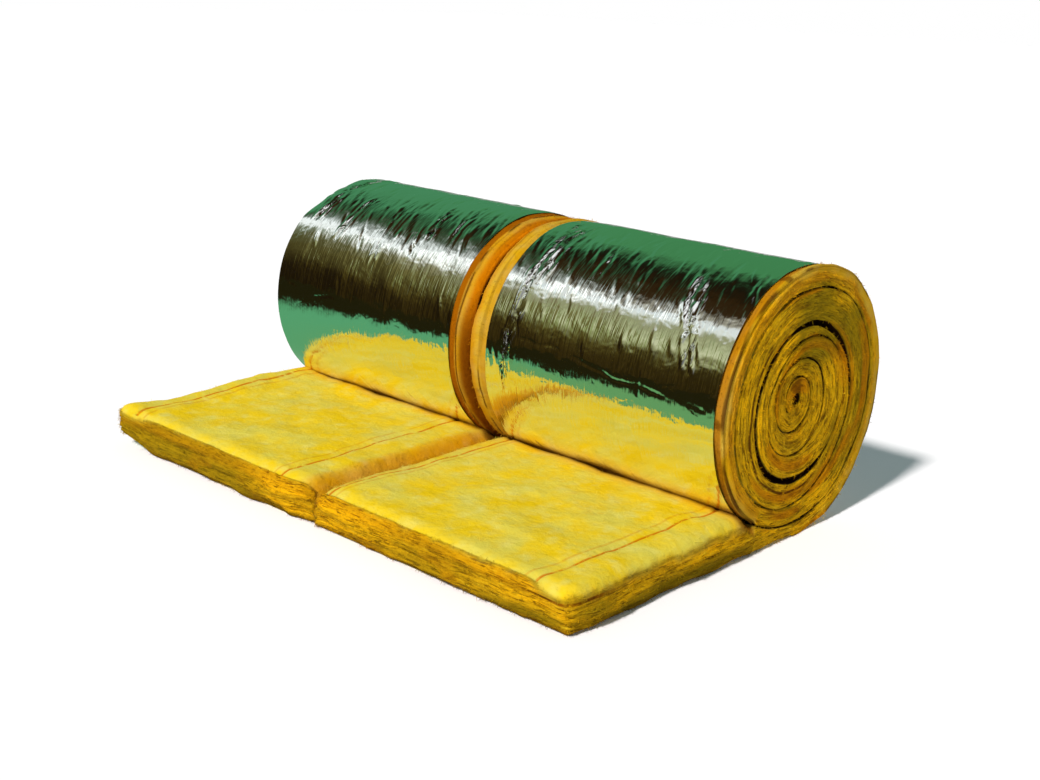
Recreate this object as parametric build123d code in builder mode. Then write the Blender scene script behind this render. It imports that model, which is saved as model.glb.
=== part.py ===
"""Glass wool insulation roll: two foil-faced strips wound side by side, with their loose end laid out.

Lengths are in millimetres. X runs across the strips, along the roll's axis. The loose end points
to -Y, +Z is up, and the origin is on the floor at the middle of the part's footprint.
"""

import math
import os

from build123d import *

# The stock: two strips cut from one width, each a wool mat with a foil facing on one side
strip_width = 600.0
strip_gap = 0.6
mat_thickness = 78.0
foil_thickness = 0.5
foil_end_margin = 20.0
foil_seam_margin = 50.0

# The roll: its radius over the foil, and the layers that the winding shows on its ends
left_radius = 248.0
right_radius = 246.0
slump = 12.0
pinch = 24.0
wound_thickness = 52.0
core_lean = 19.0
bore_radius = 18.0
core_wall = 10.0
turn_gap = 6.0
turn_depth = 25.0

# The loose end: its length from the line where the roll bears on it, and its slightly skewed cut
left_tail_length = 627.0
right_tail_length = 614.0
tail_skew = 1.0
shoulder_round = 20.0
seam_shoulder_round = 36.0

# The swollen rims of bare wool at the roll's ends and at its seam, each behind a narrow neck
rim_swell = 5.0
end_rim_width = 9.0
end_rim_ease = 5.0
seam_rim_width = 32.0
seam_rim_round = 24.0
neck_width = 4.0
neck_depth = 5.0

# The roll's axis stands behind the middle, so that the footprint is centred on the origin
skew_slope = math.tan(math.radians(tail_skew))
front_reach = max(left_tail_length, right_tail_length) + skew_slope * strip_width / 2
back_reach = max(left_radius, right_radius) + rim_swell
bearing_y = (front_reach - back_reach) / 2
section = Plane.YZ.shift_origin((0, bearing_y, 0))
plan = Plane.XY.shift_origin((0, bearing_y, 0))


# Both strips are wound on one mandrel, so their bores share an axis
bore_height = (pinch + left_radius + right_radius) / 2
bore_lean = -slump - core_lean


def winding(radius):
    """Half turns from the outside in: each one's side, its middle's Y, its foot's and crown's height."""
    core = bore_radius + core_wall
    turns = max(1, round((2 * radius - pinch - 2 * core) / (2 * wound_thickness)))
    rise = (bore_height - core - pinch) / turns
    fall = (2 * radius - bore_height - core) / turns
    halves = []
    for number in range(turns):
        foot, crown, lean = pinch + number * rise, 2 * radius - number * fall, core_lean / turns
        halves.append(("front", -slump - number * lean, foot, crown))
        halves.append(("back", -(number + 0.5) * lean, foot, crown - fall))
    halves.append(("front", bore_lean, bore_height - bore_radius, bore_height + core))
    return halves


def roll_outline(radius, inset):
    """Closed outline of a roll of this radius, inset from its skin, with its foot on the loose end."""
    high, low = 2 * radius - inset, pinch + inset
    with BuildSketch(mode=Mode.PRIVATE) as outline:
        with BuildLine():
            CenterArc((0, radius), radius - inset, -90, 180)
            Line((0, high), (-slump, high))
            CenterArc((-slump, (high + low) / 2), (high - low) / 2, 90, 180)
            Polyline((-slump, low), (-slump, inset), (0, inset))
        make_face()
    return outline.sketch


def turn_side(radius, grow):
    """One side of the turn line: the winding's half turns with their radii grown."""
    last = None
    for side, lean, low, high in winding(radius):
        middle, half = (low + high) / 2, (high - low) / 2
        if last is None:
            valley = 180 + math.degrees(math.asin((middle - mat_thickness) / half))
            CenterArc((lean, middle), half + grow, valley, 270 - valley)
        elif side == "back":
            Line((last, low - grow), (lean, low - grow))
            CenterArc((lean, middle), half + grow, -90, 180)
        else:
            Line((last, high + grow), (lean, high + grow))
            CenterArc((lean, middle), half + grow, 90, 180)
        last = lean


def turn_line(radius):
    """The gap between the turns, from the valley in front of the roll round and in to the bore."""
    with BuildSketch(mode=Mode.PRIVATE) as band:
        with BuildLine():
            with BuildLine(mode=Mode.PRIVATE) as outer:
                turn_side(radius, turn_gap / 2)
            with BuildLine(mode=Mode.PRIVATE) as inner:
                turn_side(radius, -turn_gap / 2)
            add(outer.line)
            add(inner.line)
            Line(outer.wire() @ 0, inner.wire() @ 0)
            Line(outer.wire() @ 1, inner.wire() @ 1)
        make_face()
    return band.sketch


def across(side, distance):
    """X of a place at this distance from the seam, on the left side (-1) or the right side (1)."""
    return side * (strip_gap / 2 + distance)


def strip_plan(side, near, far, tail_length):
    """Floor plan of the loose end between two distances from the seam, back to the bearing line."""
    middle = across(side, strip_width / 2)
    corners = [(across(side, near), 0), (across(side, far), 0)]
    for x in (across(side, far), across(side, near)):
        corners.append((x, -tail_length - skew_slope * (middle - x)))
    with BuildSketch(mode=Mode.PRIVATE) as outline:
        with BuildLine():
            Polyline(*corners, close=True)
        make_face()
    return outline.sketch


def loose_end(side, tail_length):
    """The wool of the loose end, flat below, with rounded shoulders along its three cut edges."""
    with BuildPart() as slab:
        with BuildSketch(plan.offset(foil_thickness)):
            add(strip_plan(side, 0, strip_width, tail_length))
        extrude(amount=mat_thickness - foil_thickness)
        crown = slab.faces().sort_by(Axis.Z)[-1].edges()
        free_edges = crown.sort_by(Axis.Y)[:-1]
        seam_edge = free_edges.sort_by(lambda edge: abs(edge.center().X))[0]
        fillet(seam_edge, radius=seam_shoulder_round)
        crown = slab.faces().sort_by(Axis.Z)[-1].edges()
        end_edge = crown.sort_by(Axis.Y)[0]
        outer_edge = crown.sort_by(lambda edge: abs(edge.center().X))[-1]
        fillet([end_edge, outer_edge], radius=shoulder_round)
    return slab.part


def rim_disc(side, near, width, radius):
    """A disc of bare wool at one end of a strip, swollen past the foil's radius."""
    with BuildPart() as disc:
        with BuildSketch(section.offset(across(side, near))):
            add(roll_outline(radius + rim_swell, foil_thickness))
        extrude(amount=side * width)
    return disc.part


def free_face_arcs(disc, side, end):
    """The round edges of a disc's seam face (end 0) or outer face (end -1)."""
    face = disc.faces().filter_by(Axis.X).sort_by(lambda face: side * face.center().X)[end]
    return face.edges().filter_by(GeomType.CIRCLE)


def seam_rim(side, radius):
    """The rim against the other strip, rounded well back so that the two leave a valley."""
    with BuildPart() as rim:
        add(rim_disc(side, 0, seam_rim_width, radius))
        fillet(free_face_arcs(rim, side, 0), radius=seam_rim_round)
    return rim.part


def end_rim(side, radius):
    """The rim at the strip's outer end, with its edge eased."""
    with BuildPart() as rim:
        add(rim_disc(side, strip_width - end_rim_width, end_rim_width, radius))
        chamfer(free_face_arcs(rim, side, -1), length=end_rim_ease)
    return rim.part


def wool_mat(side, radius, tail_length):
    """One strip of wool: the roll with its rims, turn lines and bore, and the loose end."""
    length = strip_width - end_rim_width - seam_rim_width
    with BuildPart() as mat:
        with BuildSketch(section.offset(across(side, seam_rim_width))):
            add(roll_outline(radius, foil_thickness))
        extrude(amount=side * length)
        for neck in (seam_rim_width, seam_rim_width + length - neck_width):
            with BuildSketch(section.offset(across(side, neck))):
                add(roll_outline(radius, foil_thickness))
                add(roll_outline(radius, foil_thickness + neck_depth), mode=Mode.SUBTRACT)
            extrude(amount=side * neck_width, mode=Mode.SUBTRACT)
        add(seam_rim(side, radius))
        add(end_rim(side, radius))
        add(loose_end(side, tail_length))
        with BuildSketch(section.offset(across(side, strip_width))):
            add(turn_line(radius))
        extrude(amount=-side * turn_depth, mode=Mode.SUBTRACT)
        with BuildSketch(section.offset(across(side, 0))):
            with Locations((bore_lean, bore_height)):
                Circle(bore_radius)
        extrude(amount=side * strip_width, mode=Mode.SUBTRACT)
    return mat.part


def foil_facing(side, radius, tail_length):
    """One strip's foil: under the loose end, up the back, over the top and down to the valley."""
    near, far = foil_seam_margin, strip_width - foil_end_margin
    with BuildPart() as facing:
        with BuildSketch(section.offset(across(side, near))):
            add(roll_outline(radius, 0))
            add(roll_outline(radius, foil_thickness), mode=Mode.SUBTRACT)
            Rectangle(2 * radius, mat_thickness, align=(Align.MAX, Align.MIN), mode=Mode.SUBTRACT)
        extrude(amount=side * (far - near))
        with BuildSketch(plan):
            add(strip_plan(side, near, far, tail_length))
        extrude(amount=foil_thickness)
    return facing.part


os.makedirs("parts", exist_ok=True)
strips = {"left": (-1, left_radius, left_tail_length), "right": (1, right_radius, right_tail_length)}
for strip, sizes in strips.items():
    for name, make in (("wool_mat", wool_mat), ("foil_facing", foil_facing)):
        piece = make(*sizes)
        piece.label = f"{strip}_{name}"
        export_step(piece, f"parts/{piece.label}.step")
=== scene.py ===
"""Looks of the glass wool insulation roll: wound wool with its turns, wrinkled foil, and the studio.

Lengths are in metres, in the frame of the CAD model: X runs across the strips, the loose end
points to -Y, and Z is up. A section of the roll is drawn from the line where it bears on the floor.
"""

import itertools
import math

import bpy
import numpy as np
from mathutils import Matrix, Vector


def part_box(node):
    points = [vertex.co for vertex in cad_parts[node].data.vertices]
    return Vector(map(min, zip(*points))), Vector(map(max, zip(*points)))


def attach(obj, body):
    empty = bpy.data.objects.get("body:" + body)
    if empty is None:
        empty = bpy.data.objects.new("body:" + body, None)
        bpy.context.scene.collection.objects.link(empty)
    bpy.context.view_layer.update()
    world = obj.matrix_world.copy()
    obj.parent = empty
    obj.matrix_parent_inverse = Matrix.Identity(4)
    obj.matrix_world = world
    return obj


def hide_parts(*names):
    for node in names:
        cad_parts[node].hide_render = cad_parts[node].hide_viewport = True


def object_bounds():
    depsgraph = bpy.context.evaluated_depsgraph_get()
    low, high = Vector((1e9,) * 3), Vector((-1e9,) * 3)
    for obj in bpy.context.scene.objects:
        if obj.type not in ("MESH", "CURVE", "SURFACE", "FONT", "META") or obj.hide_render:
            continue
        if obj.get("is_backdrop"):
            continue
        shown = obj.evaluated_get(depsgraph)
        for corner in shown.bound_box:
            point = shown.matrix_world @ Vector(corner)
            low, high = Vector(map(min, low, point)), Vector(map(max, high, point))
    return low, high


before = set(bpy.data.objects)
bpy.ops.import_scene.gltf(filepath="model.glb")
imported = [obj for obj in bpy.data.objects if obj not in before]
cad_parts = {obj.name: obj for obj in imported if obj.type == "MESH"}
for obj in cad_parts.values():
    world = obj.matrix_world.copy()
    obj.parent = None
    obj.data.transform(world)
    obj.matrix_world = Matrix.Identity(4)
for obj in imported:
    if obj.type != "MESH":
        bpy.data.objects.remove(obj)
cad_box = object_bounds()

# The stock, as in the CAD model
STRIP_WIDTH = 0.6
STRIP_GAP = 0.0006
MAT_THICKNESS = 0.078
FOIL_END_MARGINS = {-1: 0.006, 1: 0.020}
FOIL_SEAM_MARGIN = 0.050

# The roll's section, as in the CAD model
LEFT_RADIUS = 0.248
RIGHT_RADIUS = 0.246
SLUMP = 0.012
PINCH = 0.024
CAD_RIM_SWELL = 0.005
BEARING_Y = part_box("left_wool_mat")[1].y - LEFT_RADIUS - CAD_RIM_SWELL

# The loose end
LEFT_TAIL = 0.627
RIGHT_TAIL = 0.614
TAIL_SKEW = math.tan(math.radians(1.0))
SHOULDER = 0.027
SEAM_SHOULDER = 0.036
SEAM_DIP = 0.014
CUT_BULGE = 0.009
FOOT_LIP = 0.013

# The curled free corner of the left strip: where it starts, and how far it goes out and up
CURL_FROM = 0.50
CURL_LENGTH = 0.13
CURL_OUT, CURL_AHEAD, CURL_UP = 0.015, 0.012, 0.022

# How far the left strip's free edge stands out and up behind that corner, and its front steps back at the seam
FLARE_MIDDLE, FLARE_REACH = 0.34, 0.36
FLARE_OUT, FLARE_UP = 0.012, 0.014
STEP_BACK, STEP_REACH = 0.011, 0.080

# The dented rim at the left end of the roll, as turn angles, depth and distance from the end
DENT_ANGLES = (90, 104, 122, 136)
DENT_DEPTH = 0.008
DENT_REACH = 0.040
SEAM_SINK = 0.007
SEAM_SINK_REACH = 0.075

# The wound turns: the outer face of each, as radii about the middle from the foot inwards, one
# for every eighth of a turn, and the gaps outside them
EIGHTH = 45.0
FIRST_FOOT = 270.0
TURN_RADII = np.array((
    228, 227, 221, 211, 201, 205, 206, 202,
    190, 168, 148, 133, 136, 140, 142, 143,
    138, 136, 128, 124, 113, 102, 104, 103,
    98, 88, 80, 77, 72, 68, 66, 64,
    58, 50, 44, 41, 38, 36, 34, 30, 24,
)) / 1000
THIN_GAP = 0.0022
WIDE_GAP_START = 675.0
WIDE_GAP = np.array((4, 9, 14, 8, 5, 8, 13, 12, 4)) / 1000
ROLL_MIDDLE = (-0.006, 0.255)
CORE_MIDDLE = (-0.031, 0.264)
CORE_FROM, CORE_TO = 990.0, 1710.0
CORE_RADIUS = 0.011
LAST_TURN = FIRST_FOOT + EIGHTH * (len(TURN_RADII) - 1)
VALLEY_TURN = 238.0
# How much the painted shade in the gaps fades on the faint middle turns
FAINT_SHARE = 0.65

# Lips of the layers at the ends, the rims of bare wool, and how deep the gaps are modelled
LIP = 0.0028
RIM_LIP = 0.017
SEAM_LIP = 0.026
RIM_SWELL = 0.0045
GAP_DEPTH = 0.060
WALL_DEPTHS = (0.056, 0.042, 0.022, 0.012, 0.004, 0)
PLUG_REACH = 0.020

# Pressed lines along the loose end, as distances from the seam on the left (-1) and right (1) strip
CREASES = {-1: (0.102, 0.560), 1: (0.045, 0.537)}
CREASE_DRIFT = 0.03

# Split lines on the cut faces: distance from the mat's inner face, and the turn angles they span
ROLL_SPLIT = (0.014, 484, 500, 640, 660)
CORNER_SPLIT = 0.024

# Folds pressed into the foil, as (turn angle, distance from the seam), with half width and depth
FOLDS_ROUND = {
    -1: (
        (((76, 0.550), (97, 0.546), (109, 0.543), (120, 0.538), (133, 0.549)), 0.007, 0.0040),
        (((108, 0.219), (120, 0.210), (131, 0.199)), 0.007, 0.0035),
        (((100, 0.150), (118, 0.144), (132, 0.140)), 0.006, 0.0020),
        (((112, 0.438), (125, 0.446), (141, 0.452)), 0.006, 0.0026),
        (((104, 0.330), (116, 0.322), (150, 0.318)), 0.006, 0.0016),
    ),
    1: (
        (((94, 0.090), (113, 0.101), (125, 0.105), (140, 0.107), (155, 0.113), (172, 0.101), (190, 0.099)),
         0.007, 0.0036),
        (((96, 0.118), (112, 0.124), (126, 0.130), (138, 0.128)), 0.007, 0.0028),
        (((118, 0.446), (132, 0.457), (149, 0.492), (162, 0.512)), 0.007, 0.0030),
        (((124, 0.470), (140, 0.486), (156, 0.520)), 0.005, 0.0018),
        (((108, 0.236), (118, 0.243), (130, 0.247)), 0.006, 0.0024),
    ),
}
FOLDS_ACROSS = {
    -1: (((0.400, 171), (0.470, 174), (0.552, 170)), 0.005, 0.0009),
    1: (((0.130, 166), (0.238, 167), (0.311, 170), (0.372, 172), (0.560, 176)), 0.005, 0.0007),
}
STROKES = 150

# Mesh spacing
ALONG_STEP = 0.0042
THROUGH_STEPS = 24
TOP_STEP = 0.0044
FOIL_STEP = 0.0027
FOIL_LEVELS = 186
FIBRES = 15000

# The camera of the photograph
PHOTO_LENS = 47.29
PHOTO_SENSOR = 36.0
PHOTO_AZIMUTH = 43.07
PHOTO_ELEVATION = 16.53
PHOTO_ROLL = 2.2
PHOTO_PLACE = (1.8033, -1.8344, 0.9369)

# Light: a soft key from the front, as the photograph's shadow tells, and an even fill
KEY_DIRECTION = (0.08, -0.70, 0.71)
KEY_COLOUR = (1.0, 0.94, 0.935)
KEY_STRENGTH = 3.8
KEY_SOFTNESS = 6.0
HORIZON_COLOUR = (0.60, 0.62, 0.60, 1)
ZENITH_COLOUR = (0.10, 0.165, 0.175, 1)
FLOOR_COLOUR = (0.72, 0.72, 0.70, 1)
SEEN_FLOOR_COLOUR = (0.99, 0.99, 0.99, 1)

# What the foil mirrors: angles from behind the roll (0) over it (90) to the front (180)
FAR_LEFT_SURROUNDINGS = (
    (0, (70, 136, 92)), (62, (68, 132, 88)), (74, (52, 98, 62)), (88, (56, 78, 52)),
    (98, (130, 142, 132)), (103, (255, 262, 260)), (110, (235, 242, 238)), (115, (128, 140, 118)),
    (122, (84, 84, 50)), (138, (70, 64, 30)), (152, (52, 44, 18)), (160, (30, 22, 8)),
    (186, (26, 19, 6)),
)
LEFT_SURROUNDINGS = (
    (0, (68, 134, 90)), (55, (67, 132, 86)), (68, (46, 92, 58)), (82, (36, 56, 36)),
    (101, (62, 72, 50)), (108, (150, 158, 150)), (113, (298, 302, 300)), (121, (280, 284, 276)),
    (129, (150, 148, 115)), (138, (112, 106, 60)), (149, (92, 86, 42)), (157, (74, 63, 23)),
    (166, (52, 41, 13)), (186, (42, 33, 9)),
)
RIGHT_SURROUNDINGS = (
    (0, (66, 132, 82)), (48, (66, 131, 80)), (58, (50, 96, 58)), (66, (26, 42, 22)),
    (76, (22, 20, 10)), (90, (40, 26, 9)), (109, (48, 33, 12)), (115, (80, 74, 58)),
    (119, (205, 220, 222)), (123, (212, 226, 228)), (128, (142, 150, 114)), (150, (146, 160, 100)),
    (157, (98, 94, 44)), (164, (66, 56, 20)), (174, (56, 45, 15)), (186, (44, 36, 10)),
)
FAR_RIGHT_SURROUNDINGS = (
    (0, (64, 130, 80)), (52, (64, 128, 78)), (61, (48, 90, 54)), (68, (26, 40, 22)),
    (77, (24, 20, 10)), (92, (42, 28, 10)), (110, (52, 38, 20)), (116, (170, 168, 150)),
    (120, (222, 228, 226)), (126, (215, 220, 208)), (131, (142, 144, 104)), (137, (170, 176, 134)),
    (147, (196, 200, 160)), (152, (140, 142, 100)), (158, (52, 44, 16)), (168, (42, 33, 9)),
    (186, (34, 28, 8)),
)
PLAIN_SURROUNDINGS = (
    (0, (150, 152, 150)), (30, (176, 180, 178)), (60, (120, 124, 120)), (78, (96, 98, 94)),
    (88, (235, 238, 238)), (112, (250, 250, 250)), (124, (170, 172, 168)), (150, (128, 130, 124)),
    (170, (92, 92, 86)), (186, (120, 120, 116)),
)

SEED = 11
CELLS = 64
NOISE_CELLS = np.random.default_rng(SEED).uniform(-1, 1, (CELLS, CELLS, CELLS))


def lumps(points, size):
    """Smooth noise from -1 to 1 at points (n, 3), with lumps of this size, or of three sizes."""
    scaled = points / np.asarray(size)
    cell = np.floor(scaled).astype(int)
    part = scaled - cell
    part = part * part * (3 - 2 * part)
    total = np.zeros(len(points))
    for corner in itertools.product((0, 1), repeat=3):
        weight = np.prod(np.where(corner, part, 1 - part), axis=1)
        total += weight * NOISE_CELLS[tuple((cell + corner).T % CELLS)]
    return total


def ease(value, start, end):
    """0 before start, 1 after end, and smooth between."""
    part = np.clip((value - start) / (end - start), 0, 1)
    return part * part * (3 - 2 * part)


def bump(value, middle, reach):
    """1 at the middle, falling smoothly to 0 at this reach on both sides."""
    return 1 - ease(np.abs(value - middle), 0, reach)


def curve_through(places, values, wanted):
    """Values at wanted places on a smooth curve through evenly spaced values."""
    step = places[1] - places[0]
    part = np.clip((wanted - places[0]) / step, 0, len(values) - 1.0001)
    index = part.astype(int)
    part = part - index
    padded = np.concatenate([values[:1], values, values[-1:]])
    before, start, end, after = (padded[index + offset] for offset in range(4))
    slope_start = (end - before) / 2
    slope_end = (after - start) / 2
    square, cube = part**2, part**3
    return (
        start * (2 * cube - 3 * square + 1)
        + end * (3 * square - 2 * cube)
        + slope_start * (cube - 2 * square + part)
        + slope_end * (cube - square)
    )


# Section of the winding


def turn_middle(turn):
    """Middle that the turn angles go round, which moves towards the core in the inner turns."""
    share = ease(turn, CORE_FROM, CORE_TO)[:, None]
    return np.array(ROLL_MIDDLE) * (1 - share) + np.array(CORE_MIDDLE) * share


def skin_radius(turn, radius):
    """Distance from the roll's middle to its skin, on the back half circle or the smaller front one."""
    heading = np.stack([np.cos(np.radians(turn)), np.sin(np.radians(turn))], axis=1)
    back = ((0, radius), radius)
    front = ((-SLUMP, radius + PINCH / 2), radius - PINCH / 2)
    reach = []
    for centre, size in (back, front):
        offset = np.array(ROLL_MIDDLE) - centre
        along = heading @ offset
        reach.append(-along + np.sqrt(along**2 - offset @ offset + size**2))
    return np.where(turn < 90, reach[0], reach[1])


def turn_radius(turn, radius):
    """Radius of the mat's outer face at a turn angle: the skin, then the wound turns."""
    places = FIRST_FOOT + EIGHTH * np.arange(len(TURN_RADII))
    wound = curve_through(places, TURN_RADII, turn) * radius / RIGHT_RADIUS
    share = ease(turn, VALLEY_TURN, FIRST_FOOT)
    return skin_radius(turn, radius) * (1 - share) + wound * share


def turn_gap(turn):
    """Width of the gap outside the mat's outer face at a turn angle."""
    places = WIDE_GAP_START + EIGHTH * np.arange(len(WIDE_GAP))
    wide = curve_through(places, WIDE_GAP, turn)
    inside = (turn > places[0]) & (turn < places[-1])
    return np.where(inside, wide, THIN_GAP)


def turn_point(turn, radius, grow=0):
    """Points (n, 2) of the winding at these turn angles, grown outwards."""
    reach = (turn_radius(turn, radius) + grow)[:, None]
    heading = np.stack([np.cos(np.radians(turn)), np.sin(np.radians(turn))], axis=1)
    return turn_middle(turn) + reach * heading


def stations(radius, tail, step):
    """Stations along the mat: the outer and inner face's points, turn angle and length along it."""
    count = round((tail + ROLL_MIDDLE[0]) / step)
    flat = np.linspace(-tail, ROLL_MIDDLE[0], count)[:-1]
    under = np.linspace(FIRST_FOOT - 90, FIRST_FOOT, 200)
    foot = turn_point(under, radius, THIN_GAP)
    order = np.argsort(foot[:, 0])
    top = np.minimum(MAT_THICKNESS, np.interp(flat, foot[order, 0], foot[order, 1], left=1))
    flat_outer = np.stack([flat, np.zeros(len(flat))], axis=1)
    flat_inner = np.stack([flat, top], axis=1)

    turns = [-90.0]
    while turns[-1] < LAST_TURN:
        reach = turn_radius(np.array(turns[-1:]), radius)[0]
        turns.append(turns[-1] + math.degrees(step / reach))
    turn = np.array(turns)
    outer = turn_point(turn, radius)
    following = turn + 360
    inner = turn_point(following, radius, turn_gap(following))
    core = following > LAST_TURN - 8
    heading = np.stack([np.cos(np.radians(turn)), np.sin(np.radians(turn))], axis=1)
    last = turn_middle(following) + CORE_RADIUS * heading
    share = ease(following, LAST_TURN - 60, LAST_TURN - 8)[:, None]
    inner = inner * (1 - share) + last * share

    outer = np.concatenate([flat_outer, outer])
    inner = np.concatenate([flat_inner, inner])
    angle = np.concatenate([np.full(len(flat), -90.0), turn])
    along = np.concatenate([[0], np.cumsum(np.linalg.norm(np.diff(outer, axis=0), axis=1))])
    return outer, inner, angle, along


# Meshes on a lattice: along the mat, through its thickness and across its width


def sheet_quads(sheets, counts, mirrored):
    """Lattice places used by these sheets, and their quads, welded where sheets meet."""
    quads = []
    for rows in sheets:
        key = np.ravel_multi_index(np.broadcast_arrays(*rows), counts)
        corners = [key[:-1, :-1], key[1:, :-1], key[1:, 1:], key[:-1, 1:]]
        if mirrored:
            corners.reverse()
        quads.append(np.stack(corners, axis=-1).reshape(-1, 4))
    used, index = np.unique(np.concatenate(quads), return_inverse=True)
    return np.unravel_index(used, counts), index.reshape(-1, 4)


def mesh_object(name, points, quads, fields, material):
    """A smooth mesh object with these point fields as attributes."""
    mesh = bpy.data.meshes.new(name)
    mesh.from_pydata(points, [], quads)
    for field, values in fields.items():
        kind = "FLOAT_VECTOR" if values.ndim == 2 else "FLOAT"
        attribute = mesh.attributes.new(field, kind, "POINT")
        attribute.data.foreach_set("vector" if values.ndim == 2 else "value", values.ravel())
    mesh.shade_smooth()
    mesh.materials.append(material)
    piece = bpy.data.objects.new(name, mesh)
    bpy.context.scene.collection.objects.link(piece)
    return piece


def push_out(piece, distance):
    """Moves each vertex along its normal by its own distance."""
    mesh = piece.data
    normals = np.empty(len(mesh.vertices) * 3, np.float32)
    mesh.vertex_normals.foreach_get("vector", normals)
    points = np.empty(len(mesh.vertices) * 3, np.float32)
    mesh.vertices.foreach_get("co", points)
    points += normals * np.repeat(distance, 3)
    points[2::3] = np.maximum(points[2::3], 0)
    mesh.vertices.foreach_set("co", points.astype(np.float32))
    mesh.update()


def mesh_vectors(piece):
    """Vertices and normals of a piece, as arrays (n, 3)."""
    mesh = piece.data
    points = np.empty(len(mesh.vertices) * 3, np.float32)
    normals = np.empty(len(mesh.vertices) * 3, np.float32)
    mesh.vertices.foreach_get("co", points)
    mesh.vertex_normals.foreach_get("vector", normals)
    return points.reshape(-1, 3).astype(float), normals.reshape(-1, 3).astype(float)


def dent_rim(angle, width, side):
    """How far the left strip's skin sinks, where its rim is dented at the roll's end and over the seam."""
    start, full, fading, end = DENT_ANGLES
    share = ease(angle, start, full) * ease(-angle, -end, -fading)
    dent = share * DENT_DEPTH * ease(width, STRIP_WIDTH - DENT_REACH, STRIP_WIDTH)
    dip = SEAM_SINK * bump(angle, 88, 52) * ease(-width, -SEAM_SINK_REACH, 0)
    return (dent + dip) * (side < 0)


def curl_corner(points, width, ahead):
    """Bends the free corner of the left strip's loose end outwards and up."""
    share = ease(width, CURL_FROM, STRIP_WIDTH) * ease(-ahead, -CURL_LENGTH, 0)
    height = np.clip(points[:, 2] / MAT_THICKNESS, 0, 1)
    points[:, 0] -= share * CURL_OUT * (0.3 + 0.7 * height)
    points[:, 1] -= share * CURL_AHEAD * height
    points[:, 2] += share * CURL_UP * (1 - 0.55 * height)
    flare = ease(width, CURL_FROM, STRIP_WIDTH) * bump(ahead, FLARE_MIDDLE, FLARE_REACH) * (ahead < 0.9)
    points[:, 0] -= flare * FLARE_OUT
    points[:, 2] += flare * FLARE_UP * height
    points[:, 1] += STEP_BACK * ease(-width, -STEP_REACH, 0) * ease(-ahead, -STEP_REACH, 0)


def place_on_mat(path, station, through, width, side, tail):
    """Points in the model's frame of places on the mat, given as station, depth and width."""
    outer, inner, angle, along = path
    thickness = np.linalg.norm(inner - outer, axis=1)
    toward = (inner - outer) / thickness[:, None]
    section = outer[station] + toward[station] * through[:, None]
    laid = angle[station] <= -90
    skin = (angle[station] > -90) & (angle[station] < VALLEY_TURN) & (through < MAT_THICKNESS / 2)
    section += toward[station] * (dent_rim(angle[station], width, side) * skin)[:, None]
    skew = TAIL_SKEW * (side * (STRIP_WIDTH / 2) - side * width) * ease(-section[:, 0], 0, 0.25) * laid
    points = np.empty((len(station), 3))
    points[:, 0] = side * (STRIP_GAP / 2 + width)
    points[:, 1] = BEARING_Y + section[:, 0] - skew
    points[:, 2] = section[:, 1]
    if side < 0:
        curl_corner(points, width, np.where(laid, section[:, 0] + tail, 1.0))
    return points


def width_levels():
    """Places across the strip, close together at its two edges."""
    seam = np.array((0, 2, 4, 7, 10, 14, 18, 22, 26, 28, 30, 32, 34, 36, 38, 42, 46, 50, 55)) / 1000
    end = np.array((40, 30, 25, 21, 18, 15, 12, 10, 8, 6, 4, 2.5, 1, 0)) / 1000
    middle = np.arange(0.060, STRIP_WIDTH - 0.041, TOP_STEP)
    return np.concatenate([seam, middle, STRIP_WIDTH - end])


def round_edges(through, width, ahead, thickness, laid, wound, outermost):
    """Rounds the mat's edges: soft shoulders on the loose end, lips on the wound turns."""
    near_seam = width < STRIP_WIDTH / 2
    shoulder = np.where(near_seam, SEAM_SHOULDER, SHOULDER)
    upper = np.where(laid, shoulder, LIP)
    rim = LIP + (RIM_LIP - LIP) * outermost
    lower = np.where(wound, np.where(near_seam, SEAM_LIP, rim), FOOT_LIP)
    rise = ease(through / thickness, 0.15, 0.8)
    size = lower + (upper - lower) * rise
    size = np.minimum(size, thickness * 0.45)
    core_through = np.clip(through, size, thickness - size)
    core_width = np.clip(width, size, STRIP_WIDTH - size)
    core_ahead = np.maximum(ahead, size)
    offset = np.stack([through - core_through, width - core_width, ahead - core_ahead], axis=1)
    length = np.maximum(np.linalg.norm(offset, axis=1), 1e-9)
    offset *= (size / length)[:, None]
    return core_through + offset[:, 0], core_width + offset[:, 1], core_ahead + offset[:, 2]


def cut_share(points, through, thickness, place):
    """How much of the cut strata shows: all on the cut faces, fading over their soft outer edges."""
    wobble = lumps(points, 0.030) * 0.004 + lumps(points, 0.010) * 0.002
    edges = place["front"] | place["outer"]
    sideways = np.where(place["front"], ease(np.abs(points[:, 0]), 0.50, 0.59), 1.0)
    inwards = thickness - through + wobble
    on_loose_end = ease(inwards, 0.001 + 0.007 * sideways, 0.013 + 0.019 * sideways) * edges
    foot = ease(-points[:, 2], -0.08, -0.01)
    lip = np.maximum(ease(through + wobble, 0.003, 0.018), foot)
    on_roll = place["far"] * np.where(place["outermost"], lip, 1.0)
    return np.where(place["laid"], on_loose_end, on_roll)


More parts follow.
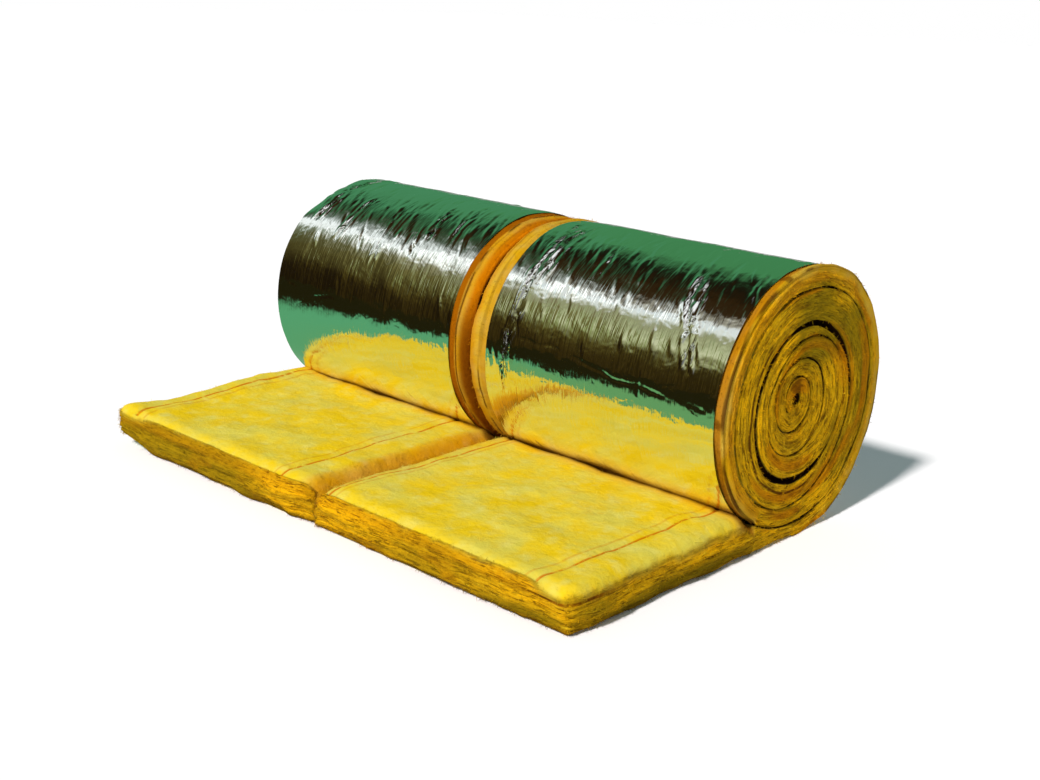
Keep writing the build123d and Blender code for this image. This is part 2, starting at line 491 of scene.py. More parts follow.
def wool_tints(points, along, through, width, place, cut, side):
    """How olive, orange and brown the wool is, on its cut faces, its bare rims and elsewhere, with painted shade
    at the loose end's foot, by the roll, round the seam, in the end band and round the core.
    """
    end_depth = STRIP_WIDTH - width
    laid = place["laid"] * 1.0
    height = points[:, 2]
    patches = lumps(points + 3, (0.3, 0.11, 0.08)) + (height - 0.26) * 1.4 * (1 - laid)
    olive = cut * ease(patches, -0.05, 0.7) * 0.7
    streaks = np.stack([along, through, width], axis=1)
    orange = ease(lumps(streaks + 7, (0.12, 0.02, 0.05)), 0.2, 0.8) * (0.12 + 0.5 * cut)
    brown = ease(lumps(streaks + 1, (0.035, 0.006, 0.02)), 0.35, 0.9) * (0.5 - 0.1 * laid) * cut

    # low: painted shade, olive patches low on the loose end's cut faces near the floor
    low = cut * laid * ease(-height, -0.050, -0.012)
    high = cut * laid * bump(height, 0.060, 0.018)
    olive = np.maximum(olive * (1 - ease(-through, -0.03, -0.01) * place["outermost"]), low * ease(lumps(points + 9, (0.09, 0.09, 0.02)), -0.5, 0.4) * 0.8)
    olive = np.maximum(olive, laid * bump(cut, 0.5, 0.45) * 0.55)
    orange = np.maximum(orange * (1 - 0.7 * laid), high * 0.22)
    ahead = points[:, 1] - BEARING_Y
    # Painted shade on the loose end's top where the roll bears on it: orange near the roll, and a brown line
    # along the contact
    shade_near_roll = laid * (1 - cut) * ease(ahead, -0.205, -0.150)
    contact_shade = laid * (1 - cut) * ease(ahead, -0.179, -0.166)
    # Painted shade: brown along the very bottom of the loose end's cut faces, where they meet the floor
    brown = np.maximum(brown, cut * laid * ease(-height, -0.020, -0.002) * 0.62)

    wobble = lumps(streaks, (0.05, 1, 0.05)) * 0.002
    rim_orange = 1.0 if side < 0 else 0.7
    seam_side = place["outermost"] & (width < 0.05)
    # Painted shade on the roll's rims by the seam: orange towards the gap, brown on the gap's floor, and a brown
    # left rim towards the gap below mid height
    seam_side_shade = seam_side * ease(-width + wobble, -0.040, -0.008)
    middle = ease(height, 0.04, 0.12) * ease(-height, -0.46, -0.36)
    gap_floor_shade = seam_side * ease(through + wobble, 0.006, 0.013) * (0.5 + 0.5 * middle)
    v_shade = seam_side * ease(-width, -0.043, -0.008) * ease(-height, -0.44, -0.26) * (side < 0)
    tan = place["skin"] * ease(width + wobble, 0.032, 0.036) * ease(-width, -0.060, -0.052)
    tan = tan * (1.0 if side < 0 else 0.5)
    broken = ease(lumps(points + 2, 0.035), -0.55, -0.1)
    line_at = 0.032 if side < 0 else 0.030
    low_half = 1.0 if side < 0 else ease(-height, -0.30, -0.20)
    foil_line = place["skin"] * bump(width, line_at + wobble, 0.0048) * broken * low_half
    band = place["skin"] * ease(-end_depth, -0.030, -0.019)
    lip = place["far"] & place["outermost"]
    reach = 0.030 + 0.030 * ease(-ahead, -0.05, 0.10)
    golden = lip * ease(-through + wobble, -reach, -0.006) * ease(height, 0.01, 0.08)
    lip_line = (place["skin"] | lip) * ease(-np.abs(end_depth - through - 0.002 + wobble), -0.0052, -0.0018)
    lip_line = lip_line * ease(lumps(points + 5, 0.06), -0.45, 0.25) * ease(-ahead, -0.02, 0.06) * 0.9
    band_end = place["skin"] * ease(-end_depth, -0.0085, -0.0055)
    corner = place["skin"] * bump(end_depth, 0.0015, 0.004) * ease(lumps(points + 5, 0.024), 0.0, 0.4)
    # Painted shade round the core hole: brown dabs that come in towards it
    from_core = np.hypot(points[:, 1] - BEARING_Y - CORE_MIDDLE[0], height - CORE_MIDDLE[1])
    core_shade_dabs = place["far"] * ease(-from_core, -0.090, -0.020) * ease(lumps(points + 8, 0.016), -0.2, 0.6) * 0.7
    dabs = band * ease(lumps(points + 5, 0.022), 0.45, 0.8) * 0.8
    grooves = place["skin"] * ease(lumps(streaks + 3, (0.11, 1, 0.0042)), 0.05, 0.7) * 0.5
    # Painted shade where the loose ends slope into the seam: orange on the shoulders, brown in the hollow between
    # them
    shoulder = laid * (1 - cut) * ease(-width + wobble * 2, -0.052, -0.016) * (0.64 if side < 0 else 0.3)
    seam_hollow_shade = laid * ease(-width + wobble, -0.014, -0.001)
    orange = np.maximum.reduce([
        orange, seam_side_shade * rim_orange, place["skin"] * rim_orange * 0.6 * (1 - 0.4 * band_end),
        band * 0.75 * (1 - 0.5 * band_end), tan, shoulder, golden * 0.48,
        shade_near_roll * 0.7,
    ])
    brown = np.maximum.reduce([
        brown * (1 - golden), gap_floor_shade, v_shade * 0.82, core_shade_dabs, cut * laid * 0.10, contact_shade * 0.75, lip_line, foil_line,
        # painted shade of the recessed band by the foil's end edge, darker towards the bottom
        band * (0.42 + 0.25 * ease(-height, -0.28, -0.12)) * (1 - band_end), tan * 0.6, corner * 0.85,
        dabs, seam_hollow_shade * 0.55, grooves, place["skin"] * 0.24 * (1 - band_end),
    ])
    return np.stack([olive, orange, brown], axis=1)


def crease_fields(along, through, width, thickness, angle, side, place):
    """Signed distances from the pressed lines along the loose end and from the splits on the cut faces."""
    fields = []
    for middle in CREASES[side]:
        sway = lumps(np.stack([along, along * 0 + middle * 9, along * 0], axis=1), (0.06, 1, 1)) * 0.004
        drift = (along - 0.3) * CREASE_DRIFT
        inwards = 1 if middle < STRIP_WIDTH / 2 else -1
        fields.append(inwards * (width - middle - sway - drift))
    shown = (place["laid"] & place["top"]) * 1.0
    sway = lumps(np.stack([along * 1.0, width, along * 0], axis=1), 0.05) * 0.0025
    split, start, full, fading, end = ROLL_SPLIT
    on_roll = place["far"] * ease(angle, start, full) * ease(-angle, -end, -fading)
    inner_depth = thickness - through
    fields[0] = np.where(on_roll > 0, inner_depth - split - sway, fields[0])
    at_corner = (side > 0) & ~place["top"] & place["laid"]
    reach = np.where(place["front"], ease(width, 0.44, 0.56), ease(-along, -0.14, -0.05))
    fields[0] = np.where(at_corner, inner_depth - CORNER_SPLIT - sway, fields[0])
    fields[1] = np.where(at_corner | (on_roll > 0), 1.0, fields[1])
    shown = np.maximum.reduce([shown, on_roll, at_corner * reach])
    return np.stack([*fields, shown], axis=1)


def wool_mat(side, radius, tail, material):
    """One strip of wool: loose end, skin under the foil, bare rims and the wound turns."""
    path = stations(radius, tail, ALONG_STEP)
    outer, inner, angle, along = path
    levels = width_levels()
    share = np.linspace(0, 1, THROUGH_STEPS + 1)
    counts = (len(along), len(share), len(levels))
    last, inside, far = (count - 1 for count in counts)
    skin_end = np.searchsorted(angle, VALLEY_TURN)
    bearing = np.searchsorted(angle, -89.9)
    valley = np.searchsorted(outer[:bearing, 0], -0.140)

    every_i = np.arange(counts[0])[:, None]
    every_j = np.arange(counts[1])[:, None]
    every_k = np.arange(counts[2])[:, None]
    rim = np.flatnonzero(levels > STRIP_WIDTH - GAP_DEPTH)
    wall = np.searchsorted(levels, STRIP_WIDTH - np.array(WALL_DEPTHS))
    seam_band = np.flatnonzero(levels < 0.070)
    skin = np.concatenate([seam_band, rim])
    sheets = [
        (every_i, np.arange(counts[1])[None, :], far),
        (every_i[: skin_end + 1].T, every_j, 0),
        (every_i[: valley + 1].T, inside, every_k),
        (every_i[valley:].T, inside, wall[:, None]),
        (every_i[: skin_end + 1], 0, skin[None, :]),
        (every_i[:8], 0, every_k.T),
        (every_i[skin_end:], 0, wall[None, :]),
        (0, every_j.T, every_k),
    ]
    (i, j, k), quads = sheet_quads(sheets, counts, side < 0)

    thickness = np.linalg.norm(inner - outer, axis=1)[i]
    through = share[j] * thickness
    width = levels[k]
    ahead = np.where(i < bearing, outer[i, 0] + tail, 1.0)
    wound = i >= bearing
    place = {
        "laid": i <= valley, "front": i == 0, "outer": width > STRIP_WIDTH / 2, "top": j == inside,
        "far": (k == far) & (i > valley), "outermost": wound & (i <= skin_end),
        "skin": wound & (i <= skin_end) & (j == 0),
    }
    plug = (j == inside) & (i > valley) & (k == wall[0])
    through, width, rounded = round_edges(
        through, width, ahead, thickness, place["laid"], wound,
        place["outermost"] * (0.1 + 0.9 * ease(angle[i], 88, 134)),
    )
    points = place_on_mat(path, i, through + plug * PLUG_REACH, width, side, tail)
    points[:, 1] += np.where(i < bearing, rounded - ahead, 0)
    height = np.clip(points[:, 2] / MAT_THICKNESS, 0, 1)
    bulge = np.sin(height * math.pi * 0.8) * CUT_BULGE * (i < bearing)
    points[:, 1] -= bulge * ease(-rounded, -0.045, 0)
    points[:, 0] += side * bulge * 0.4 * ease(width, STRIP_WIDTH - 0.045, STRIP_WIDTH)
    points[:, 2] -= SEAM_DIP * ease(-width, -0.034, 0) * place["laid"] * height
    lying = (j == 0) & (i < bearing)
    points[:, 2] = np.where(lying, np.maximum(points[:, 2], 0.0009), points[:, 2])

    end_depth = STRIP_WIDTH - width
    in_gap = ((j == 0) & (i > skin_end)) | ((j == inside) & (i > valley))
    strata_along = np.where(i == 0, width - STRIP_WIDTH, along[i])
    cut = cut_share(points, through, thickness, place)
    golden = place["far"] * place["outermost"] * ease(-through, -0.050, -0.010) * ease(points[:, 2], 0.01, 0.08)
    cut = cut * (1 - 0.12 * golden)
    creases = crease_fields(along[i], through, width, thickness, angle[i], side, place)
    turn = np.where(j == 0, angle[i], angle[i] + 360)
    # Painted shade in the gaps between the turns: fainter on the faint middle turns, full near the core
    gap_shade_share = np.where(turn_gap(turn) > THIN_GAP * 1.5, 1.0, 0.85 + 0.3 * lumps(points, 0.05))
    gap_shade_share = gap_shade_share * (1 - FAINT_SHARE * ease(turn, 452, 486) * ease(-turn, -640, -596))
    gap_shade_share = np.maximum(gap_shade_share, ease(turn, LAST_TURN - 120, LAST_TURN - 60))
    mid_height = ease(points[:, 2], 0.04, 0.14) * ease(-points[:, 2], -0.45, -0.34)
    # Painted shade deep in the seam gap on the roll's front half, at mid height
    seam_gap_shade = place["outermost"] * (width < 0.03) * ease(through, 0.009, 0.015) * mid_height * (outer[i, 0] < 0)
    fields = {
        "mat_place": np.stack([along[i], through, width], axis=1),
        "strata_place": np.stack([strata_along, through, width * 0], axis=1),
        "cut": cut,
        # depth: painted dark brown shade in the gaps
        "depth": np.maximum(ease(end_depth, 0, 0.004) * in_gap * gap_shade_share, seam_gap_shade),
        "crease": creases,
        "tint": wool_tints(points, along[i], through, width, place, cut, side),
    }
    name = "left" if side < 0 else "right"
    piece = mesh_object(name + "_wool", points, quads, fields, material)

    on_skin = place["skin"] & (through < 0.02)
    swell = on_skin * RIM_SWELL * bump(end_depth, 0.005, 0.012) * (side > 0)
    soft = lumps(points, 0.060) * 0.0025 + lumps(points, 0.022) * 0.0012
    soft = soft * np.where(place["laid"], 1.3, np.where(place["far"], 0.6, 1.0))
    streak = lumps(fields["strata_place"], (0.050, 0.0045, 1)) * np.where(place["laid"], 0.0030, 0.0014)
    ledge = lumps(fields["strata_place"] + 4, (0.085, 0.017, 1)) * 0.0050 * ease(points[:, 2], 0, 0.024)
    ragged = (streak + ledge * place["laid"]) * cut
    pressed = -0.0035 * bump(creases[:, 0], 0, 0.009) - 0.0035 * bump(creases[:, 1], 0, 0.009)
    pressed = pressed * creases[:, 2] * np.where(place["far"], 0, 1)
    covered = on_skin & (end_depth > FOIL_END_MARGINS[side]) & (width > FOIL_SEAM_MARGIN)
    push_out(piece, np.where(lying, 0, np.where(covered, -0.006, soft + ragged + swell + pressed)))

    frayed = np.where(place["laid"], 0.15 + cut + 2.0 * ease(np.abs(cut - 0.4), 0.3, 0.1), cut * 0.5)
    frayed = np.maximum(frayed, place["skin"] * 0.5) + bump(width, 0.02, 0.03) * place["laid"] * 0.8
    hidden = covered | lying | (fields["depth"] > 0.2) | plug
    return piece, fibres(name + "_fibres", piece, fields, np.where(hidden, 0, frayed), material)


def fibres(name, piece, fields, chance, material):
    """Loose fibres that stand off the wool where this chance is high, coloured as the wool there."""
    random = np.random.default_rng(SEED + len(name))
    picked = random.choice(len(chance), FIBRES, p=chance / chance.sum())
    points, normals = mesh_vectors(piece)
    lean = random.normal(size=(FIBRES, 3))
    heading = normals[picked] * 0.75 + lean * 0.5
    heading /= np.linalg.norm(heading, axis=1)[:, None]
    length = random.uniform(0.003, 0.007, FIBRES)[:, None]
    across = np.cross(heading, random.normal(size=(FIBRES, 3)))
    across *= 0.00030 / np.linalg.norm(across, axis=1)[:, None]
    roots = points[picked] + random.uniform(-0.002, 0.002, (FIBRES, 3)) - heading * 0.001
    bent = roots + heading * length * 0.55
    tips = bent + (heading + lean * 0.35 - np.array((0, 0, 0.4))) * length * 0.45
    blades = np.stack([roots - across, roots + across, bent + across, bent - across, tips], axis=1)
    blades[:, :, 2] = np.maximum(blades[:, :, 2], 0.0004)
    first = np.arange(FIBRES)[:, None] * 5
    faces = (first + np.array((0, 1, 2, 3))).tolist() + (first + np.array((3, 2, 4))).tolist()
    repeated = {field: np.repeat(values[picked], 5, axis=0) for field, values in fields.items()}
    return mesh_object(name, blades.reshape(-1, 3), faces, repeated, material)


def fold_heights(along, width, angle, path_angle, path_along, side):
    """Heights of the foil's long pressed folds and of its many short sharp wrinkles, and its crumpled parts."""
    height = np.zeros(len(along))
    crumpled = np.zeros(len(along))
    for line, reach, depth in FOLDS_ROUND[side]:
        turns, places = np.array(line).T
        sway = lumps(np.stack([along, along * 0, along * 0 + depth], axis=1), 0.03) * 0.004
        aside = np.abs(width - np.interp(angle, turns, places) - sway)
        shown = ease(angle, turns[0] - 4, turns[0] + 4) * ease(-angle, -turns[-1] - 4, -turns[-1] + 4)
        shown *= 0.25 + ease(lumps(np.stack([along, width * 4, along * 0 + depth], axis=1), 0.022), -0.4, 0.6)
        height -= depth * shown * (np.clip(1 - aside / reach, 0, 1) - 0.4 * bump(aside, reach * 1.7, reach))
        crumpled = np.maximum(crumpled, bump(aside, 0, reach * 2.6) * shown * depth / 0.004)
    line, reach, depth = FOLDS_ACROSS[side]
    places, turns = np.array(line).T
    sway = lumps(np.stack([width, along * 0, along * 0], axis=1), 0.03) * 0.005
    ahead = np.abs(along - np.interp(np.interp(width, places, turns), path_angle, path_along) - sway)
    shown = ease(width, places[0] - 0.01, places[0] + 0.01) * ease(-width, -places[-1] - 0.01, -places[-1] + 0.01)
    shown *= ease(lumps(np.stack([width, along * 0, along * 0 + depth], axis=1), 0.035), -0.5, 0.4)
    height -= depth * shown * np.clip(1 - ahead / reach, 0, 1) * (angle > 90)

    random = np.random.default_rng(SEED + side)
    for stroke in range(STROKES):
        turn = random.normal(113, 12) if stroke % 3 else random.uniform(-60, 225)
        middle = np.interp(turn, path_angle, path_along)
        beside = random.uniform(FOIL_SEAM_MARGIN, STRIP_WIDTH)
        length = random.uniform(0.014, 0.050)
        reach = random.uniform(0.0045, 0.008)
        size = random.choice((-1, 1)) * random.uniform(0.0005, 0.0018 if side < 0 else 0.0013)
        ahead = along - middle
        aside = np.abs(width - beside - side * random.uniform(0.05, 0.45) * ahead)
        near = (np.abs(ahead) < length) & (aside < reach)
        height[near] += size * bump(ahead[near], 0, length) * (1 - aside[near] / reach)
    return height, np.minimum(crumpled, 1)


def foil_facing(side, radius, tail, material):
    """One strip's foil: under the loose end, up the back, over the top and down to the valley."""
    path = stations(radius, tail, FOIL_STEP)
    outer, inner, angle, along = path
    skin_end = np.searchsorted(angle, VALLEY_TURN + 4)
    bearing = np.searchsorted(angle, -89.9)
    over = np.searchsorted(angle, 78)
    levels = np.linspace(FOIL_SEAM_MARGIN, STRIP_WIDTH - FOIL_END_MARGINS[side], FOIL_LEVELS)
    counts = (skin_end + 1, 1, len(levels))
    chosen = np.concatenate([
        np.arange(4, bearing, 24), np.arange(bearing, over, 3), np.arange(over, skin_end + 1),
    ])
    (i, j, k), quads = sheet_quads(
        [(chosen[:, None], 0, np.arange(len(levels))[None, :])], counts, side < 0
    )
    width = levels[k]
    points = place_on_mat(path, i, np.full(len(i), -0.0006), width, side, tail)
    points[:, 2] = np.maximum(points[:, 2], 0.0003)
    folds, crumpled = fold_heights(along[i], width, angle[i], angle, along, side)
    fields = {"mat_place": np.stack([along[i], width * 0, width], axis=1), "crumpled": crumpled}
    piece = mesh_object(("left" if side < 0 else "right") + "_foil", points, quads, fields, material)
    free = ease(along[i], tail + 0.02, tail + 0.12)
    gentle = lumps(points, 0.130) * 0.0015 + lumps(points, 0.050) * 0.0008
    edge = ease(width, FOIL_SEAM_MARGIN, FOIL_SEAM_MARGIN + 0.012)
    push_out(piece, (gentle + 0.0014 + folds * edge) * free)
    return piece


# Materials


def tone(red, green, blue):
    """A colour given in the photograph's 0 to 255 steps, as Blender's linear values."""
    steps = (value / 255 for value in (red, green, blue))
    linear = [step / 12.92 if step <= 0.04045 else ((step + 0.055) / 1.055) ** 2.4 for step in steps]
    return (*linear, 1)


class Paint:
    """Adds nodes to a node tree, each linked to the sockets or set to the values that it is given."""

    def __init__(self, tree):
        self.tree = tree

    def add(self, kind, *values, **settings):
        node = self.tree.nodes.new("ShaderNode" + kind)
        for setting, value in settings.items():
            setattr(node, setting, value)
        sockets = [socket for socket in node.inputs if socket.enabled]
        for socket, value in zip(sockets, values):
            self.fill(socket, value)
        return next(socket for socket in node.outputs if socket.enabled)

    def fill(self, socket, value):
        if isinstance(value, bpy.types.NodeSocket):
            self.tree.links.new(value, socket)
        elif value is not None:
            socket.default_value = value

    def math(self, operation, *values):
        return self.add("Math", *values, operation=operation)

    def mix(self, share, first, second, blend="MIX"):
        node = self.add("Mix", data_type="RGBA", blend_type=blend).node
        for name, value in (("Factor_Float", share), ("A_Color", first), ("B_Color", second)):
            self.fill(next(socket for socket in node.inputs if socket.identifier == name), value)
        return next(socket for socket in node.outputs if socket.identifier == "Result_Color")

    def stretch(self, vector, scales):
        return self.add("VectorMath", vector, scales, operation="MULTIPLY")

    def grain(self, vector, scale, detail=3, rough=0.5, twist=0, kind="FBM"):
        node = self.add("TexNoise", noise_type=kind).node
        settings = {"Vector": vector, "Scale": scale, "Detail": detail, "Roughness": rough, "Distortion": twist}
        for name, value in settings.items():
            self.fill(node.inputs[name], value)
        return node.outputs["Fac"]

    def between(self, value, start, end):
        """0 below start, 1 above end, smooth between; start may lie above end."""
        node = self.add("MapRange", interpolation_type="SMOOTHSTEP").node
        for name, setting in (("Value", value), ("From Min", start), ("From Max", end)):
            self.fill(node.inputs[name], setting)
        return node.outputs["Result"]

    def ramp(self, value, stops):
        """Colours at given places from 0 to 1."""
        node = self.add("ValToRGB", value).node
        elements = node.color_ramp.elements
        while len(elements) < len(stops):
            elements.new(1.0)
        for element, (place, colour) in zip(elements, stops):
            element.position = place
            element.color = colour
        return node.outputs["Color"]

    def parts(self, vector):
        return self.add("SeparateXYZ", vector).node.outputs

    def join(self, x, y, z):
        return self.add("CombineXYZ", x, y, z)


def new_material(name):
    """An empty node material, its painter and its shader."""
    material = bpy.data.materials.new(name)
    material.use_nodes = True
    return material, Paint(material.node_tree), material.node_tree.nodes["Principled BSDF"]


def wool_material():
    """Soft mottled glass wool, with streaky strata where it is cut and painted brown shade in its gaps."""
    material, paint, shader = new_material("glass_wool")
    mat_place = paint.add("Attribute", attribute_name="mat_place").node.outputs["Vector"]
    strata_place = paint.add("Attribute", attribute_name="strata_place").node.outputs["Vector"]
    crease = paint.parts(paint.add("Attribute", attribute_name="crease").node.outputs["Vector"])
    cut = paint.add("Attribute", attribute_name="cut").node.outputs["Fac"]
    # depth: how much painted gap shade shows
    depth = paint.add("Attribute", attribute_name="depth").node.outputs["Fac"]
    tint = paint.parts(paint.add("Attribute", attribute_name="tint").node.outputs["Vector"])
    place = paint.add("TexCoord").node.outputs["Object"]

    blotch = paint.grain(place, 11, detail=4, rough=0.6)
    soft = paint.mix(paint.between(blotch, 0.35, 0.68), tone(228, 194, 22), tone(214, 200, 78))
    pale = paint.grain(place, 30, detail=2)
    soft = paint.mix(paint.between(pale, 0.45, 0.9), soft, tone(218, 208, 104))
    warm = paint.grain(place, 23, detail=5, rough=0.65)
    soft = paint.mix(paint.math("MULTIPLY", paint.between(warm, 0.60, 0.85), 0.6), soft, tone(222, 164, 8))

    strata = paint.grain(paint.stretch(strata_place, (26, 340, 1)), 1, detail=4, rough=0.62, twist=0.4)
    band = paint.grain(paint.stretch(strata_place, (7, 80, 1)), 1, detail=2)
    layered = paint.mix(paint.between(band, 0.35, 0.65), tone(244, 184, 12), tone(204, 156, 16))
    layered = paint.mix(paint.between(strata, 0.52, 0.70), layered, tone(120, 78, 6))
    layered = paint.mix(paint.between(strata, 0.44, 0.28), layered, tone(246, 206, 38))
    fine = paint.grain(paint.stretch(strata_place, (11, 190, 1)), 1, detail=3, rough=0.6, twist=0.5)
    thread = paint.between(paint.math("ABSOLUTE", paint.math("SUBTRACT", fine, 0.5)), 0.032, 0.006)
    dashes = paint.grain(paint.stretch(strata_place, (30, 90, 1)), 1, detail=2)
    thread = paint.math("MULTIPLY", thread, paint.between(dashes, 0.40, 0.55))
    layered = paint.mix(paint.math("MULTIPLY", thread, 0.85), layered, tone(80, 42, 5))
    fuzz = paint.grain(place, 170, detail=4, rough=0.75)
    layered = paint.mix(paint.math("MULTIPLY", paint.between(fuzz, 0.52, 0.72), 0.5), layered, tone(112, 80, 10))
    layered = paint.mix(paint.math("MULTIPLY", paint.between(fuzz, 0.46, 0.30), 0.6), layered, tone(248, 200, 30))
    colour = paint.mix(cut, soft, layered)
    # The tints carry the wool's colours and also painted shade: by the seam, where the roll bears on the tail, at
    # its foot, in the end band and round the core
    colour = paint.mix(tint[0], colour, tone(124, 108, 12))
    colour = paint.mix(tint[1], colour, tone(206, 122, 2))
    lines = 0.0
    for distance in (crease[0], crease[1]):
        line = paint.between(paint.math("ABSOLUTE", distance), 0.0040, 0.0012)
        beside = paint.math("ABSOLUTE", paint.math("SUBTRACT", distance, 0.019))
        faint = paint.math("MULTIPLY", paint.between(beside, 0.004, 0.0005), paint.math("SUBTRACT", 0.4, cut))
        lines = paint.math("MAXIMUM", lines, paint.math("MAXIMUM", line, faint))
    broken = paint.between(paint.grain(mat_place, 60, detail=2), 0.25, 0.5)
    lines = paint.math("MULTIPLY", paint.math("MULTIPLY", lines, crease[2]), broken)
    pressed = paint.mix(cut, tone(200, 112, 4), tone(74, 34, 4))
    colour = paint.mix(paint.math("MULTIPLY", lines, 0.88), colour, pressed)
    colour = paint.mix(tint[2], colour, tone(74, 34, 3))
    # Painted shade: dark brown in the gaps between the turns and deep in the seam
    colour = paint.mix(depth, colour, tone(48, 24, 5))
    paint.fill(shader.inputs["Base Color"], colour)
    shader.inputs["Roughness"].default_value = 1.0
    shader.inputs["Specular IOR Level"].default_value = 0.05

    felt = paint.grain(place, 420, detail=5, rough=0.7, twist=0.6)
    tuft = paint.grain(place, 95, detail=3)
    height = paint.math("ADD", paint.math("MULTIPLY", felt, 0.0012), paint.math("MULTIPLY", tuft, 0.003))
    ridge = paint.math("MULTIPLY", paint.math("MULTIPLY", strata, cut), 0.004)
    groove = paint.math("MULTIPLY", paint.math("MAXIMUM", lines, paint.math("MULTIPLY", thread, cut)), -0.0012)
    relief = paint.add("Bump").node
    relief.inputs["Strength"].default_value = 0.8
    relief.inputs["Distance"].default_value = 1.0
    height = paint.math("ADD", paint.math("ADD", height, ridge), groove)
    paint.fill(relief.inputs["Height"], height)
    paint.fill(shader.inputs["Normal"], relief.outputs["Normal"])
    return material


def foil_material():
    """Bright aluminium foil: fine ripples round the roll and sharp slanting crinkles, with painted dark shade
    along the crinkle lines.
    """
    material, paint, shader = new_material("aluminium_foil")
    mat_place = paint.add("Attribute", attribute_name="mat_place").node.outputs["Vector"]
    shader.inputs["Metallic"].default_value = 1.0
    shader.inputs["Roughness"].default_value = 0.07
    ripple = paint.grain(paint.stretch(mat_place, (9, 1, 150)), 1, detail=2, twist=0.6)
    fine = paint.grain(paint.stretch(mat_place, (24, 1, 330)), 1, detail=2, twist=0.4)
    patch = paint.between(paint.grain(mat_place, 8, detail=2), 0.40, 0.64)
    dent = paint.grain(mat_place, 34, detail=2, twist=0.3)
    height = paint.math("MULTIPLY", ripple, 0.00044)
    height = paint.math("ADD", height, paint.math("MULTIPLY", paint.math("MULTIPLY", fine, patch), 0.0003))
    height = paint.math("ADD", height, paint.math("MULTIPLY", dent, 0.0011))
    crumpled = paint.add("Attribute", attribute_name="crumpled").node.outputs["Fac"]
    crease = paint.grain(paint.stretch(mat_place, (48, 1, 120)), 1, detail=1, rough=0.5, twist=1.2)
    height = paint.math("ADD", height, paint.math("MULTIPLY", paint.math("MULTIPLY", crease, crumpled), 0.0034))
    # Painted shade: dark lines along the crinkles where the foil is crumpled
    line = paint.between(paint.math("ABSOLUTE", paint.math("SUBTRACT", crease, 0.47)), 0.040, 0.012)
    line = paint.math("MULTIPLY", line, paint.between(crumpled, 0.15, 0.6))
    paint.fill(shader.inputs["Base Color"], paint.mix(line, tone(250, 251, 250), tone(52, 44, 26)))
    relief = paint.add("Bump").node
    relief.inputs["Strength"].default_value = 1.0
    relief.inputs["Distance"].default_value = 1.0
    paint.fill(relief.inputs["Height"], height)
    paint.fill(shader.inputs["Normal"], relief.outputs["Normal"])
    return material


# The object

wool = wool_material()
foil = foil_material()
strips = {"left": (-1, LEFT_RADIUS, LEFT_TAIL), "right": (1, RIGHT_RADIUS, RIGHT_TAIL)}
for name, sizes in strips.items():
    mat, loose = wool_mat(*sizes, wool)
    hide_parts(f"{name}_wool_mat")
    for piece in (mat, loose):
        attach(piece, "root")
    facing = foil_facing(*sizes, foil)
    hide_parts(f"{name}_foil_facing")
    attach(facing, "root")


# Floor, light and camera


def floor_material():
    """Pale floor that keeps the shadow, white to the camera, and what foil shows of the ground."""
    material, paint, shader = new_material("pale_floor")
    shader.inputs["Base Color"].default_value = FLOOR_COLOUR
    shader.inputs["Roughness"].default_value = 1.0
    shader.inputs["Specular IOR Level"].default_value = 0.0
    rays = paint.add("LightPath").node.outputs
    place = paint.parts(paint.add("NewGeometry").node.outputs["Position"])
    seen = paint.add("BsdfDiffuse", SEEN_FLOOR_COLOUR)
    forward = paint.between(place[1], -0.95, -1.25)
    sideways = paint.between(place[0], -1.05, -1.55)
    grass = paint.mix(paint.between(place[0], -0.3, -1.0), tone(98, 154, 94), tone(86, 160, 110))
    ground = paint.mix(paint.math("MAXIMUM", forward, sideways), grass, tone(30, 28, 9))
    cloudy = paint.grain(paint.add("NewGeometry").node.outputs["Position"], 1.7, detail=3)
    behind = paint.mix(paint.between(cloudy, 0.4, 0.6), tone(148, 150, 148), tone(216, 217, 214))
    ground = paint.mix(paint.between(place[0], 0.55, 1.2), ground, behind)
    ground = paint.mix(paint.between(place[1], -0.1, 0.5), ground, behind)
    mirrored = paint.add("Emission", ground, 1.0)
    output = material.node_tree.nodes["Material Output"]
    shown = paint.add("MixShader", rays["Is Camera Ray"], shader.outputs[0], seen)
    shown = paint.add("MixShader", rays["Is Glossy Ray"], shown, mirrored)
    paint.fill(output.inputs["Surface"], shown)
    return material


def surroundings(paint, angle, stops):
    """Colours round the roll's axis, by angle from behind it over the top to the front."""
    share = paint.math("DIVIDE", angle, 360.0)
    return paint.ramp(share, [(place / 360, tone(*colour)) for place, colour in stops])


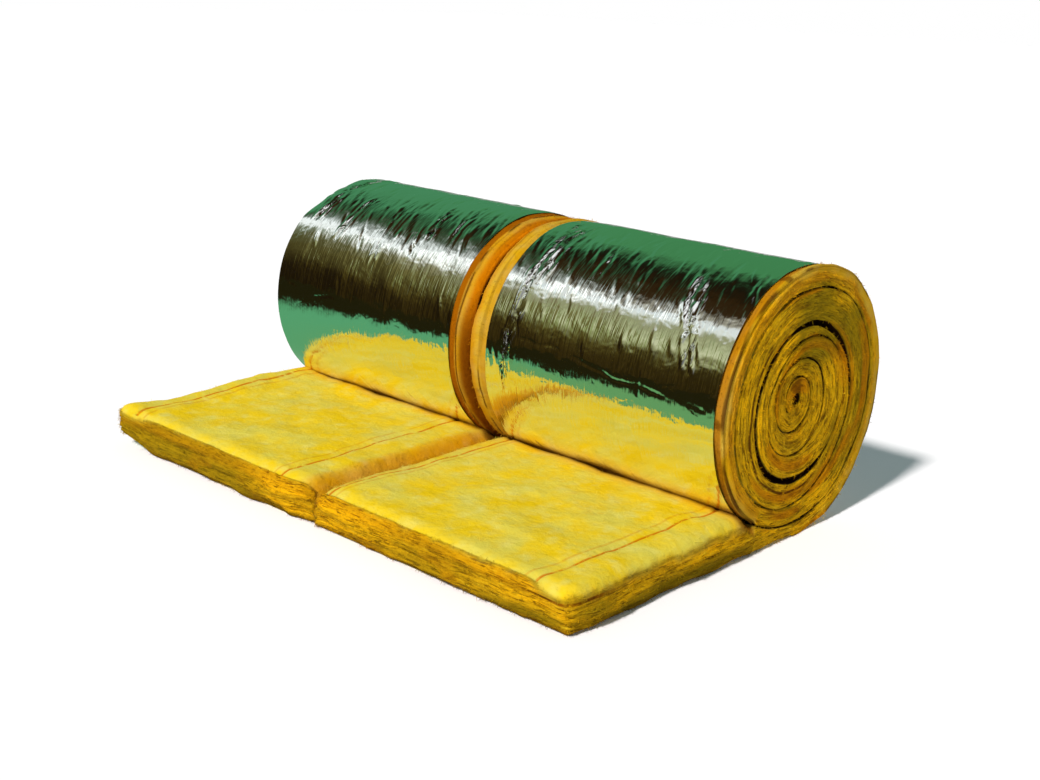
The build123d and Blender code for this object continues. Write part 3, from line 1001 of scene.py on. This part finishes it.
def studio_world():
    """Plain soft light, white behind the object, and the surroundings that the foil mirrors."""
    world = bpy.data.worlds.new("studio")
    world.use_nodes = True
    paint = Paint(world.node_tree)
    rays = paint.add("LightPath").node.outputs
    direction = paint.parts(paint.add("TexCoord").node.outputs["Generated"])
    angle = paint.math("ARCTAN2", direction[2], direction[1])
    angle = paint.math("DEGREES", angle)
    angle = paint.math("MODULO", paint.math("ADD", angle, 360.0), 360.0)
    spread = paint.add("CombineXYZ", direction[0], paint.math("DIVIDE", angle, 90.0), 0.0)
    ragged = paint.grain(spread, 6, detail=3, rough=0.6)
    raggedness = paint.add("MapRange", angle, 75.0, 105.0, 28.0, 9.0).node.outputs["Result"]
    angle = paint.math("ADD", angle, paint.math("MULTIPLY", paint.math("SUBTRACT", ragged, 0.5), raggedness))
    far_left = surroundings(paint, angle, FAR_LEFT_SURROUNDINGS)
    toward_left = surroundings(paint, angle, LEFT_SURROUNDINGS)
    toward_left = paint.mix(paint.between(direction[0], -0.68, -0.77), toward_left, far_left)
    toward_right = surroundings(paint, angle, RIGHT_SURROUNDINGS)
    plain = surroundings(paint, angle, PLAIN_SURROUNDINGS)
    share = paint.between(direction[0], -0.665, -0.615)
    far_right = surroundings(paint, angle, FAR_RIGHT_SURROUNDINGS)
    toward_right = paint.mix(paint.between(direction[0], -0.605, -0.58), toward_right, far_right)
    mirrored = paint.mix(share, toward_left, toward_right)
    mirrored = paint.mix(paint.between(direction[0], -0.30, -0.05), mirrored, plain)
    fill = paint.mix(paint.between(direction[2], 0.15, 0.75), HORIZON_COLOUR, ZENITH_COLOUR)
    colour = paint.mix(rays["Is Glossy Ray"], fill, mirrored)
    colour = paint.mix(rays["Is Camera Ray"], colour, (1, 1, 1, 1))
    background = world.node_tree.nodes["Background"]
    paint.fill(background.inputs["Color"], colour)
    background.inputs["Strength"].default_value = 1.0
    return world


bpy.ops.mesh.primitive_plane_add(size=60)
floor = bpy.context.object
floor.name = "floor"
floor.data.materials.append(floor_material())
floor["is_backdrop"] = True
bpy.context.scene.world = studio_world()

key = bpy.data.lights.new("key", "SUN")
key.energy = KEY_STRENGTH
key.color = KEY_COLOUR
key.angle = math.radians(KEY_SOFTNESS)
key_object = bpy.data.objects.new("key", key)
key_object.visible_glossy = False
key_object.rotation_euler = Vector(KEY_DIRECTION).to_track_quat("Z", "Y").to_euler()
bpy.context.scene.collection.objects.link(key_object)

camera_data = bpy.data.cameras.new("photo")
camera_data.lens = PHOTO_LENS
camera_data.sensor_width = PHOTO_SENSOR
camera = bpy.data.objects.new("photo", camera_data)
camera.location = PHOTO_PLACE
camera.rotation_mode = "XYZ"
turned = Matrix.Rotation(math.radians(PHOTO_AZIMUTH), 4, "Z")
tilted = Matrix.Rotation(math.radians(90 - PHOTO_ELEVATION), 4, "X")
rolled = Matrix.Rotation(math.radians(PHOTO_ROLL), 4, "Z")
camera.rotation_euler = (turned @ tilted @ rolled).to_euler()
bpy.context.scene.collection.objects.link(camera)
bpy.context.scene.camera = camera
bpy.context.scene.view_settings.view_transform = "Standard"

sizes = {"cad": [list(corner) for corner in cad_box], "visual": [list(corner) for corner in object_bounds()]}
